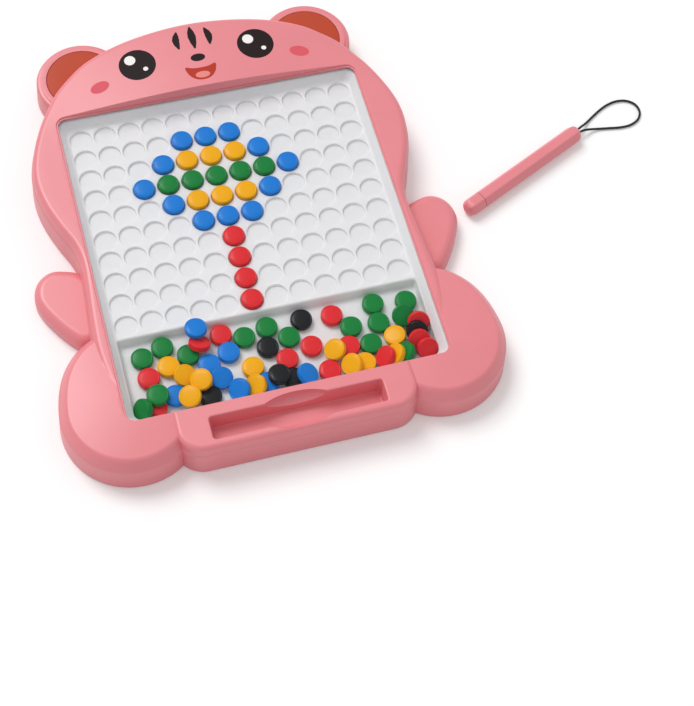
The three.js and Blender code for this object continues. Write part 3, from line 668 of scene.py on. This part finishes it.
# %% Tray with its wells
WELL_PITCH = 15.0
WELL_COLUMNS = 12
WELL_ROWS = 10
FIRST_WELL = (-WELL_PITCH * (WELL_COLUMNS - 1) / 2, -WELL_PITCH * (WELL_ROWS - 1) / 2)
TRAY_UNDERSIDE = 9.5
TRAY_TOP = 22.7
PANEL = 17.5
WELL_FLOOR = 15.9
RESERVOIR_FLOOR = 11.5
FIELD_HALF_X = 90.5
FIELD_FAR = 75.5
FIELD_NEAR = -129.45
FIELD_EDGE = 1.4
STEP_Y = -75.95
STEP_EDGE = 1.1
RESERVOIR_EDGE = 1.6


def field_ring(height, inwards=0.0):
    """The sloped walls round the field of wells, at one height."""
    share = (height - PANEL) / 5.2
    half = FIELD_HALF_X + 3.5 * share - inwards
    low, high = FIELD_NEAR - 2 * share + inwards, FIELD_FAR + 3.5 * share - inwards
    return [(x, y, height) for x, y in round_corners(-half, half, low, high, 5 - inwards / 2, 8)]


def reservoir_ring(height, inwards=0.0, step_out=0.0):
    """The reservoir's walls at one height; only the step's upper edge is rounded outwards."""
    share = (PANEL - height) / 6
    half = FIELD_HALF_X - 0.8 * share - inwards
    low, high = FIELD_NEAR + 0.8 * share + inwards, STEP_Y - 1.5 * share - inwards
    return [
        (x, y + (step_out if y > (low + high) / 2 else 0), height)
        for x, y in round_corners(-half, half, low, high, 2.5, 6)
    ]


tray = form_through("tray", [
    [(x, y, z) for x, y in tray_outline(-inwards, TRAY_CORNER - inwards)]
    for inwards, z in ((0, TRAY_UNDERSIDE), (0, TRAY_TOP - 0.4), (0.4, TRAY_TOP))
])
field = [field_ring(PANEL + up, inwards) for up, inwards in edge_arc(FIELD_EDGE, 4)]
field += [field_ring(TRAY_TOP - 0.3), field_ring(TRAY_TOP, -0.3), field_ring(26)]
cut(tray, form_through("field_cutter", field))
reservoir = [reservoir_ring(RESERVOIR_FLOOR + up, inwards) for up, inwards in edge_arc(RESERVOIR_EDGE, 4)]
reservoir += [reservoir_ring(PANEL - down, 0, out) for out, down in edge_arc(STEP_EDGE, 4)]
reservoir.append(reservoir_ring(PANEL + 0.3, 0, STEP_EDGE))
cut(tray, form_through("reservoir_cutter", reservoir))
cut(tray, flat_plate("pocket_cutter", round_corners(-89.35, 89.35, -72.45, 74.35, 3, 4), 5.5, 13.9))

plug_profile = [   # radius, and height over the well's floor
    (6.3, 0), (6.6, 0.08), (6.78, 0.3), (6.84, 0.7), (6.87, 1.2), (6.95, 1.4), (7.08, 1.53), (7.25, 1.6),
    (7.3, 2.7),
]
plug = form_through("well_plugs", [
    [(x, y, WELL_FLOOR + rise) for x, y in circle(FIRST_WELL, radius, 32)] for radius, rise in plug_profile
])
for count, step in ((WELL_COLUMNS, (WELL_PITCH * MM, 0, 0)), (WELL_ROWS, (0, WELL_PITCH * MM, 0))):
    keep_modifier(
        plug, "ARRAY", count=count, use_relative_offset=False, use_constant_offset=True,
        constant_offset_displace=step,
    )
cut(tray, plug)
settle(tray, 40)
calm_flats(tray)
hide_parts("dot_panel")
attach(tray, "board")
report(tray)

# %% [markdown]
# ## Ear inlays
# A flat disc in a warm colour is glued into each ear. Its edge is rounded, and it's cut to the line of
# the head, which passes over the lower part of the ear.

# %% Two inlays
INLAY_UNDERSIDE = 16.8
inlay_line = circle(EAR_CENTRE, 21.8, 96)
inlay_steps = [(0, 0.75), *round_edge(0.45, 4)]
inlay = raise_form("right_ear_disc", inlay_line, INLAY_UNDERSIDE, inlay_steps, [(0.6, 0.0)], EAR_CENTRE)
cut(inlay, flat_plate("head_cutter", grown(body_outline(), 0.3), 0, 26))
for disc_piece, name in ((inlay, "right_ear_inlay"), (mirrored(inlay, "left_ear_disc"), "left_ear_inlay")):
    settle(disc_piece)
    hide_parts(name)
    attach(disc_piece, "board")
    report(disc_piece)

# %% [markdown]
# ## Case screws
# Six small screws hold the rear cover. Each is a turned head on a shank with a cross recess.

# %% Screws with a cross recess
screw = raise_form("screw", circle((0, 0), 3, 32), 0.3, [(0, 1.6), *round_edge(0.4, 3)])
pick(screw, "faces", lambda face: face.normal.z > 0.9 and face.calc_center_median().z > 2.2 * MM)
bpy.ops.mesh.inset(thickness=1.1 * MM, depth=0)
bpy.ops.mesh.extrude_region_move(TRANSFORM_OT_translate={"value": (0, 0, 10.5 * MM)})
bpy.ops.mesh.extrude_region_move(TRANSFORM_OT_translate={"value": (0, 0, 1.5 * MM)})
bpy.ops.transform.resize(value=(0.15, 0.15, 1))
leave_edit()
outward(screw)
for length, width in ((3.4, 0.8), (0.8, 3.4)):
    deselect()
    bpy.ops.mesh.primitive_cube_add(size=MM, location=(0, 0, 0.5 * MM))
    slot_cutter = bpy.context.object
    slot_cutter.scale = (length, width, 1.4)
    cut(screw, slot_cutter)
screws = []
for x, y in screw_places:
    side = "left" if x < 0 else "right"
    place = "foot" if y < -100 else "cheek" if y < 60 else "head"
    twin = copy_of(screw, f"{side}_{place}_case_screw")
    twin.location = (x * MM, y * MM, 0)
    settle(twin)
    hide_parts(f"{side}_{place}_screw")
    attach(twin, "board")
    screws.append(twin)
bpy.data.objects.remove(screw)
report(screws[0])

# %% [markdown]
# ## Beads
# A bead is a flat button, 13 mm across, with a steel disc moulded in. Its edges are rounded, a fine
# groove runs just inside each edge, and the middle is very slightly domed. One bead is modelled; every
# other one is a copy with a mesh of its own.

# %% One bead
BEAD_RADIUS = 6.5
BEAD_THICKNESS = 4.2
BEAD_FACE_STEPS = [(0.12, 0.0), (0.22, -0.14), (0.28, 0.12), (1.0, 0.1), (1.4, 0.06), (1.5, 0.02)]
bead_rise = sum(depth for width, depth in BEAD_FACE_STEPS)
deselect()
bpy.ops.mesh.primitive_cylinder_add(
    vertices=32, radius=BEAD_RADIUS * MM, depth=(BEAD_THICKNESS - 2 * bead_rise) * MM, end_fill_type="NGON",
    location=(0, 0, BEAD_THICKNESS / 2 * MM),
)
bead = bpy.context.object
bpy.ops.object.transform_apply(location=True, rotation=False, scale=False)
pick(bead, "edges", lambda edge: abs(edge.verts[0].co.z - edge.verts[1].co.z) < 0.1 * MM)
bpy.ops.mesh.bevel(offset=0.75 * MM, segments=4, affect="EDGES")
leave_edit()
for up in (1, -1):
    pick(bead, "faces", lambda face: face.normal.z * up > 0.99)
    for width, depth in BEAD_FACE_STEPS:
        bpy.ops.mesh.inset(thickness=width * MM, depth=depth * MM)
    leave_edit()
bead.name = "bead"
outward(bead)
report(bead)
print("bead size in mm:", [round(d / MM, 2) for d in bead.dimensions])

# %% [markdown]
# Twenty-seven beads lie in wells and form the picture of a flower on its stem. Fifteen lie flat on the
# floor of the reservoir. Both groups take their places from the solids.

# %% Beads that have a solid of their own
bead_pieces = []


def place_bead(name, place, colour, lean=0.0, towards=0.0):
    """A copy of the bead. Lean is its tilt in degrees, and towards the direction that it sinks in."""
    twin = copy_of(bead, name)
    bearing = math.radians(towards)
    tilt = Matrix.Rotation(math.radians(lean), 4, Vector((-math.sin(bearing), math.cos(bearing), 0)))
    middle = Matrix.Translation((0, 0, BEAD_THICKNESS / 2 * MM))
    twin.matrix_world = Matrix.Translation(place) @ middle @ tilt @ middle.inverted()
    settle(twin, 40)
    bead_pieces.append(twin)
    return twin


for name in sorted(nodes):
    if "_bead_" not in name:
        continue
    kind, colour_and_number = name.split("_bead_")
    colour, number = colour_and_number.split("_")
    low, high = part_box(name)
    place = Vector(((low.x + high.x) / 2, (low.y + high.y) / 2, low.z))
    twin = place_bead(f"{kind}_button_{colour}_{number}", place, colour)
    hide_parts(name)
    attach(twin, f"bead_{colour}_{number}" if kind == "picture" else "board")
print("beads placed:", len(bead_pieces))

# %% [markdown]
# The other loose beads fill the rest of the reservoir. Where there is no room on the floor, a bead
# leans on the rim of the next one, or lies on top of two others, just as poured buttons do. Their
# places were read off the photograph and then moved apart until none cut into another one. Each entry
# gives the colour, the place of the bead's middle in mm, its lean in degrees, and the direction that
# its upper face tips towards.

# %% The rest of the loose beads
leaning_beads = [
    ("blue", -44.2, -80.1, 20.2, 6, 68), ("red", -44, -88.5, 16.8, 28, 53), ("green", -3.3, -85.8, 13.7),
    ("green", 81.2, -87.9, 13.7), ("green", 61.4, -98.3, 13.7), ("green", 76.3, -98.3, 16.2, 30, -75),
    ("yellow", 68.3, -109.4, 14.5, 9, 158), ("red", 83.8, -104.9, 17.2, 46, -93),
    ("black", 81.1, -110.7, 17.2, 46, -93), ("red", 80.9, -116.6, 17.2, 46, -93),
    ("red", 83.8, -123.2, 17.2, 46, -81), ("green", 70.5, -122.7, 17.2, 46, 172),
    ("yellow", 64.6, -122.5, 17.2, 46, 172), ("red", 58.6, -122.7, 17.2, 46, 172),
    ("red", 40.4, -109.3, 13.7, 1, 39), ("green", 53.3, -110.9, 13.7),
    ("yellow", 31.4, -110.8, 16.4, 27, -174), ("red", 19.1, -104.1, 13.7), ("red", 3.4, -109, 13.7),
    ("yellow", -56.7, -106.1, 15.6, 22, -52), ("yellow", -48.4, -112.6, 18.7, 17, -154),
    ("blue", -36.5, -112.6, 15.5, 21, -71), ("yellow", -17.3, -109.5, 13.7),
    ("black", -4.3, -119.7, 18.2, 6, 77), ("blue", -10.9, -121.1, 13.7),
    ("yellow", -18.8, -122.6, 16.9, 31, -160), ("black", 4, -122.2, 13.7),
    ("blue", 11.8, -122.7, 17, 30, -13), ("red", 25.4, -122.1, 13.8, 1, 53),
    ("yellow", 38.4, -122.7, 16.8, 34, -169), ("yellow", 46.5, -122.2, 13.7), ("green", -74.5, -116, 17.9),
    ("blue", -64.4, -116.7, 13.7), ("yellow", -56.9, -121.7, 19.3, 16, -152),
    ("black", -45.2, -122.2, 13.7), ("blue", -28.4, -122.6, 16.4, 31, -160),
    ("green", -84.4, -122.7, 17.2, 47, -170), ("red", -77, -122.2, 13.7),
]
for number, (colour, x, y, z, *tilt) in enumerate(leaning_beads, 16):
    low = Vector((x * MM, y * MM, (z - BEAD_THICKNESS / 2) * MM))
    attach(place_bead(f"loose_button_{colour}_{number}", low, colour, *tilt), "board")
print("beads in all:", len(bead_pieces))

# %% [markdown]
# ## The pen
# The barrel is a six-sided prism with soft long edges and a round end. A cap of the same plastic closes
# its tip and holds a small magnet. The wrist loop comes out of a hole in the other end.

# %% Pen barrel, tip and magnet
PEN_FLATS = 10.4
PEN_CORNER = 1.3
PEN_END_ROUND = 3.2
TIP_LENGTH = 12.0
MAGNET_RADIUS = 3.0


def lay_pen_piece(piece, name, node):
    """Turns a piece that was made upright so that it lies on the table with the rest of the pen."""
    piece.name = piece.data.name = name
    lie = Matrix.Rotation(math.radians(90), 4, "Y") @ Matrix.Rotation(math.radians(30), 4, "Z")
    lift = Matrix.Translation((PEN_PLACE[0] * MM, PEN_PLACE[1] * MM, PEN_FLATS / 2 * MM))
    piece.matrix_world = lift @ Matrix.Rotation(PEN_BEARING, 4, "Z") @ lie
    settle(piece, 35)
    calm_flats(piece)
    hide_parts(node)
    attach(piece, "pen")
    report(piece)


def hexagon(flats, corner_round, height, per_corner=4):
    """A regular hexagon with round corners, one flat towards the table once the pen lies down."""
    corner_round = min(corner_round, flats * 0.4)
    reach = (flats / 2 - corner_round) / math.cos(math.pi / 6)
    ring = []
    for corner in range(6):
        middle = math.pi / 3 * corner
        for step in range(per_corner + 1):
            angle = middle - math.pi / 6 + math.pi / 3 * step / per_corner
            x = reach * math.cos(middle) + corner_round * math.cos(angle)
            y = reach * math.sin(middle) + corner_round * math.sin(angle)
            ring.append((x, y, height))
    return ring


def prism(name, low, high, round_low, round_high):
    """A six-sided bar; an end that is to be round is drawn in along half an oval, longer than it is deep."""
    rings = []
    for end, size, inwards in ((low, round_low, 1), (high, round_high, -1)):
        turns = [math.pi / 2 * k / 6 for k in range(7)] if size else [math.pi / 2]
        stack = []
        for a in turns:
            flats = PEN_FLATS - 2 * size * (1 - math.sin(a))
            height = end + inwards * 1.5 * size * (1 - math.cos(a))
            stack.append(hexagon(flats, PEN_CORNER + 0.9 * (1 - math.sin(a)), height))
        rings += stack if inwards > 0 else stack[::-1]
    return form_through(name, rings)


barrel_start = TIP_LENGTH + SEAT_GAP
barrel = prism("pen_barrel_form", barrel_start, PEN_LENGTH, 0, PEN_END_ROUND)
spigot = flat_plate("spigot", circle((0, 0), MAGNET_RADIUS, 24), TIP_LENGTH - 2, barrel_start + SEAT_GAP)
join(barrel, spigot)
cord_hole = flat_plate("cord_hole", circle((0, 0), 2.3, 32), PEN_LENGTH - 3, PEN_LENGTH + 4)
cut(barrel, cord_hole)
cap = prism("pen_tip_form", 0, TIP_LENGTH, PEN_END_ROUND, 0)
pocket = flat_plate("magnet_pocket", circle((0, 0), MAGNET_RADIUS + SEAT_GAP, 32), 2, TIP_LENGTH + 4)
cut(cap, pocket)
magnet_steps = [(0, 7.1), *round_edge(0.3, 2)]
magnet = raise_form("pen_magnet_form", circle((0, 0), MAGNET_RADIUS, 32), 2 + SEAT_GAP, magnet_steps)
lay_pen_piece(barrel, "pen_body", "pen_barrel")
lay_pen_piece(cap, "pen_cap", "pen_tip")
lay_pen_piece(magnet, "pen_disc_magnet", "pen_magnet")

# %% [markdown]
# ## Finishes
# The case, tray and beads are moulded plastic. A mould's surface leaves a very fine grain, well under a
# millimetre, and the colour varies a little over centimetres. Both come from noise on the object's own
# coordinates, in metres, so that their size is real. The beads are polished, so they have less grain.

# %% Plastics, metal, cord and clear sheet
def colour_of(code):
    """A colour written as six hex digits, turned into the linear values that the shader wants."""
    parts = [int(code[i:i + 2], 16) / 255 for i in (0, 2, 4)]
    return tuple(p / 12.92 if p <= 0.04045 else ((p + 0.055) / 1.055) ** 2.4 for p in parts)


def new_material(name):
    material = bpy.data.materials.new(name)
    material.use_nodes = True
    return material, material.node_tree.nodes["Principled BSDF"]


def set_inputs(node, values):
    for name, value in values.items():
        node.inputs[name].default_value = value


def finish(name, code, roughness, grain=0.03, grain_size=0.5, mottle=0.03, metallic=0.0, shine=0.5):
    """A Principled material with a slow change of colour and a fine bump, both at real size."""
    material, shader = new_material(name)
    tree = material.node_tree
    set_inputs(shader, {"Roughness": roughness, "Metallic": metallic, "Specular IOR Level": shine})
    place = tree.nodes.new("ShaderNodeTexCoord")
    slow, fine = tree.nodes.new("ShaderNodeTexNoise"), tree.nodes.new("ShaderNodeTexNoise")
    set_inputs(slow, {"Scale": 40, "Detail": 2})
    set_inputs(fine, {"Scale": 1 / (grain_size * MM), "Detail": 3})
    for noise in (slow, fine):
        tree.links.new(place.outputs["Object"], noise.inputs["Vector"])
    ramp = tree.nodes.new("ShaderNodeValToRGB")
    for stop, position, share in zip(ramp.color_ramp.elements, (0.3, 0.7), (1 - mottle, 1)):
        stop.position = position
        stop.color = (*[part * share for part in colour_of(code)], 1)
    tree.links.new(slow.outputs["Fac"], ramp.inputs["Fac"])
    tree.links.new(ramp.outputs["Color"], shader.inputs["Base Color"])
    bump = tree.nodes.new("ShaderNodeBump")
    set_inputs(bump, {"Strength": grain, "Distance": 0.1 * MM})
    tree.links.new(fine.outputs["Fac"], bump.inputs["Height"])
    tree.links.new(bump.outputs["Normal"], shader.inputs["Normal"])
    return material


def dress(pieces, material):
    for piece in pieces:
        piece.data.materials.clear()
        piece.data.materials.append(material)


pink = finish("pink_moulded_plastic", "e6848b", 0.36, grain=0.06, shine=0.65)
white = finish("white_moulded_plastic", "eeeef0", 0.4, grain=0.03, mottle=0.01)
set_inputs(white.node_tree.nodes["Principled BSDF"], {
    "Subsurface Weight": 0.5, "Subsurface Radius": (1, 1, 1), "Subsurface Scale": 3 * MM,
})
orange = finish("orange_moulded_plastic", "bc482c", 0.45, grain=0.06, shine=0.2)
steel = finish("zinc_plated_steel", "a5a7aa", 0.35, metallic=1.0, grain=0.1, grain_size=0.2)
nickel = finish("nickel_plated_magnet", "8f9196", 0.25, metallic=1.0)
cord_finish = finish("black_braided_cord", "1c1c1e", 0.75, grain=0.5, grain_size=0.35)
bead_codes = {"blue": "147fdc", "yellow": "fab200", "green": "0a8238", "red": "e62a30", "black": "17171a"}
bead_finish = {
    colour: finish(f"{colour}_bead_plastic", code, 0.24, grain=0.015, mottle=0.02, shine=0.2)
    for colour, code in bead_codes.items()
}
sheet_finish, sheet_shader = new_material("clear_sheet_plastic")
set_inputs(sheet_shader, {
    "Base Color": (0.1, 0.11, 0.12, 1), "Roughness": 0.06, "Specular IOR Level": 0.2, "Alpha": 0.03,
})

dress([case, barrel, cap, nodes["rear_cover"]], pink)
dress([tray], white)
dress([inlay, bpy.data.objects["left_ear_disc"]], orange)
dress(screws, steel)
dress([magnet], nickel)
dress([wrist_loop], cord_finish)
dress([nodes["window_sheet"]], sheet_finish)
for piece in bead_pieces:
    dress([piece], bead_finish[next(colour for colour in bead_codes if f"_{colour}" in piece.name)])
bpy.data.objects.remove(bead)
print("materials:", [material.name for material in bpy.data.materials if material.users])

# %% [markdown]
# ## The printed face
# The head carries a simple printed face: two round eyes with a light in each, a small open mouth, three
# short stripes on the forehead and a dot on each cheek. Print has hardly any thickness. Each shape is
# drawn flat over the head, cut finely, dropped onto the crowned surface and given 0.05 mm of thickness.

# %% Print on the head
INK_START = 40   # over the highest point of the head
INK_GAP = 0.07
INK_LAYER = 0.09
INK_THICKNESS = 0.05
BLACK_INK, WHITE_INK, CHEEK_INK, MOUTH_INK, TONGUE_INK = "241819", "f4f0ee", "dd5d69", "b93a28", "e98a86"
inks = {}


def printed(name, outline, code, layer=0):
    """One printed shape. A higher layer lies on a lower one."""
    patch = flat_face(name, [(x * MM, y * MM, INK_START * MM) for x, y in outline])
    bpy.ops.mesh.quads_convert_to_tris()
    bpy.ops.mesh.subdivide(number_cuts=4)
    leave_edit()
    keep_modifier(
        patch, "SHRINKWRAP", target=case, wrap_method="PROJECT", use_project_z=True,
        use_negative_direction=True, use_positive_direction=False, offset=(INK_GAP + INK_LAYER * layer) * MM,
    )
    keep_modifier(patch, "SOLIDIFY", thickness=INK_THICKNESS * MM, offset=-1)
    outward(patch)
    settle(patch, 60)
    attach(patch, "board")
    if code not in inks:
        inks[code] = finish(f"ink_{code}", code, 0.5, grain=0.02, mottle=0.02, shine=0.12)
    patch.data.materials.append(inks[code])
    return patch


def stroke(points, widths):
    """A brush stroke: a smooth line through the points that swells and thins with the widths."""
    line = smooth_line([Vector((x, y, 0)) for x, y in points], closed=False, steps=6)
    left, right = [], []
    for i, place in enumerate(line):
        along = (line[min(i + 1, len(line) - 1)] - line[max(i - 1, 0)]).normalized()
        share = i / (len(line) - 1) * (len(widths) - 1)
        low = min(int(share), len(widths) - 2)
        half = (widths[low] + (widths[low + 1] - widths[low]) * (share - low)) / 2
        left.append((place.x - along.y * half, place.y + along.x * half))
        right.append((place.x + along.y * half, place.y - along.x * half))
    return right + left[::-1]


def oval(x, y, half_width, half_height, turn=0.0, count=48):
    c, s = math.cos(math.radians(turn)), math.sin(math.radians(turn))
    stretched = [(half_width * across, half_height * up) for across, up in circle((0, 0), 1, count)]
    return [(x + c * across - s * up, y + s * across + c * up) for across, up in stretched]


face = []
for side, label in ((-1, "left"), (1, "right")):
    eye = side * 38
    stripe = stroke([(side * 9, 127.5), (side * 10.6, 120.5), (side * 10, 113)], [0.8, 3.6, 4.6, 3.4, 0.9])
    face += [
        (f"{label}_eye_print", oval(eye, 107.5, 11.6, 12), BLACK_INK),
        (f"{label}_eye_light_print", oval(eye - 3.9, 111.9, 3.5, 3.7, count=32), WHITE_INK, 1),
        (f"{label}_eye_spark_print", oval(eye + 4.4, 103, 1.6, 1.6, count=24), WHITE_INK, 1),
        (f"{label}_cheek_print", oval(side * 64, 96.5, 6.2, 4, side * -18), CHEEK_INK),
        (f"{label}_brow_stripe_print", stripe, BLACK_INK),
    ]
mouth_right = [(5, 96), (9.6, 97.4), (8.2, 91), (4.4, 87.2)]
mouth_left = [(-x, y) for x, y in reversed(mouth_right)]
mouth = [*mouth_left[2:], (0, 95.6), *mouth_right, (0, 86.2), *mouth_left[:2]]
mouth_line = smooth_line([Vector((x, y, 0)) for x, y in mouth], closed=True, steps=5)
face += [
    ("middle_stripe_print", stroke([(0, 130), (0, 121.5), (0, 111.5)], [0.8, 4, 5.2, 3.8, 0.9]), BLACK_INK),
    ("mouth_print", [(place.x, place.y) for place in mouth_line], MOUTH_INK),
    ("tongue_print", oval(0, 90, 4.6, 2.5, count=32), TONGUE_INK, 1),
    ("nose_print", oval(0, 104, 4.6, 3, count=40), BLACK_INK),
]
prints = [printed(*shape) for shape in face]
print("printed shapes:", len(prints), "open edges:", sum(open_edges(p) for p in prints))

# %% [markdown]
# ## Floor and light
# The picture is a studio picture on white. A wide soft lamp stands above the head of the board, to the
# left, and a white room fills the shadows. The floor only shows the soft shadow of the board.

# %% Floor, lamp and white room
def rays_that_show(tree):
    """1 for the rays that show a surface to the camera, straight or through a clear piece."""
    rays = tree.nodes.new("ShaderNodeLightPath")
    either = tree.nodes.new("ShaderNodeMath")
    either.operation = "MAXIMUM"
    tree.links.new(rays.outputs["Is Camera Ray"], either.inputs[0])
    tree.links.new(rays.outputs["Is Transmission Ray"], either.inputs[1])
    return either.outputs["Value"]


deselect()
bpy.ops.mesh.primitive_plane_add(size=6, location=(0, 0, -0.2 * MM))
floor = bpy.context.object
floor.name = "studio_floor"
floor_finish, floor_shader = new_material("white_floor")
floor_tree = floor_finish.node_tree
set_inputs(floor_shader, {
    "Base Color": (0.9, 0.9, 0.9, 1), "Roughness": 0.9, "Specular IOR Level": 0.1,
    "Emission Color": (1, 1, 1, 1),
})
glow = floor_tree.nodes.new("ShaderNodeMath")
glow.operation = "MULTIPLY"
glow.inputs[1].default_value = 0.12
floor_tree.links.new(rays_that_show(floor_tree), glow.inputs[0])
floor_tree.links.new(glow.outputs["Value"], floor_shader.inputs["Emission Strength"])
floor.data.materials.append(floor_finish)

lamp_data = bpy.data.lights.new("soft_lamp", "SUN")
lamp_data.angle = math.radians(30)
lamp_data.energy = 1.62
lamp = bpy.data.objects.new("soft_lamp", lamp_data)
scene.collection.objects.link(lamp)
lamp.location = (-1.0, 1.95, 2.95)
lamp.rotation_euler = (-lamp.location).to_track_quat("-Z", "Y").to_euler()

room_light = bpy.data.worlds.new("white_room")
room_light.use_nodes = True
room_tree = room_light.node_tree
background = room_tree.nodes["Background"]
set_inputs(background, {"Color": (1, 1, 1, 1)})
brightness = room_tree.nodes.new("ShaderNodeMapRange")
set_inputs(brightness, {"To Min": 0.61, "To Max": 1.0})
room_tree.links.new(rays_that_show(room_tree), brightness.inputs["Value"])
room_tree.links.new(brightness.outputs["Result"], background.inputs["Strength"])
scene.world = room_light
scene.view_settings.view_transform = "Standard"
print("lamp strength:", lamp_data.energy, "angle in degrees:", round(math.degrees(lamp_data.angle)))
